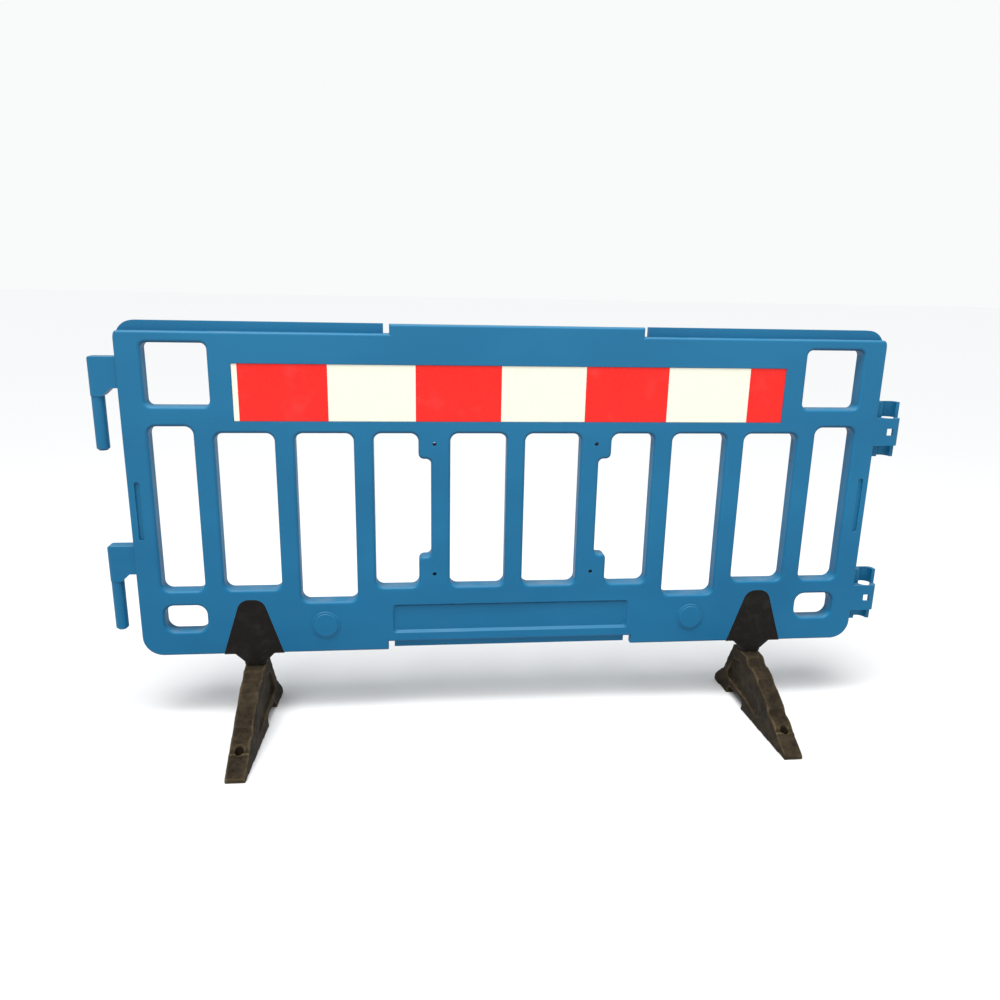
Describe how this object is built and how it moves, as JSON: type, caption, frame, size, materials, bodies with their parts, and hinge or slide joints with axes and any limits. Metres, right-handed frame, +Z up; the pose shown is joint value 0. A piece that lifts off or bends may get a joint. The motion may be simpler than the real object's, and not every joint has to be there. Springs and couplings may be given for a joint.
{
  "type": "pedestrian barrier",
  "caption": "Moulded plastic pedestrian barrier with slots, a red and white reflective band, hooks and sockets at its ends, and swivelling rubber feet.",
  "frame": {"origin": "middle of the feet's footprint, on the ground", "axes": "+X along the panel, hooks at -X and sockets at +X; the front faces -Y; +Z up"},
  "size_m": [2.004, 0.428, 1.012],
  "materials": {
    "panel_plastic": "satin moulded polyethylene, blue",
    "red_sheeting": "glossy retroreflective film, red",
    "white_sheeting": "glossy retroreflective film, warm white",
    "bracket_plastic": "matt moulded plastic, black",
    "foot_rubber": "dusty recycled rubber, dark brown",
    "ring_plastic": "satin acetal, dark grey",
    "zinc_steel": "zinc plated"
  },
  "bodies": {
    "panel": {"barrier_panel": "panel_plastic", "front_red_sheeting": "red_sheeting", "front_white_sheeting": "white_sheeting", "rear_red_sheeting": "red_sheeting", "rear_white_sheeting": "white_sheeting", "left_foot_bracket": "bracket_plastic", "left_bracket_screws": "zinc_steel", "left_bolt_washer": "zinc_steel", "left_nut_washer": "zinc_steel", "left_pivot_bolt": "zinc_steel", "left_pivot_nut": "zinc_steel", "right_foot_bracket": "bracket_plastic", "right_bracket_screws": "zinc_steel", "right_bolt_washer": "zinc_steel", "right_nut_washer": "zinc_steel", "right_pivot_bolt": "zinc_steel", "right_pivot_nut": "zinc_steel"},
    "left_foot": {"left_foot": "foot_rubber", "left_swivel_ring": "ring_plastic"},
    "right_foot": {"right_foot": "foot_rubber", "right_swivel_ring": "ring_plastic"}
  },
  "joints": [
    {"name": "left_foot_swivel", "type": "hinge", "parent": "panel", "child": "left_foot", "pos_m": [-0.66325, 0.106, 0.1], "axis": [0, 0, 1], "range_deg": [-90, 90]},
    {"name": "right_foot_swivel", "type": "hinge", "parent": "panel", "child": "right_foot", "pos_m": [0.66325, 0.106, 0.1], "axis": [0, 0, 1], "range_deg": [-90, 90]}
  ]
}
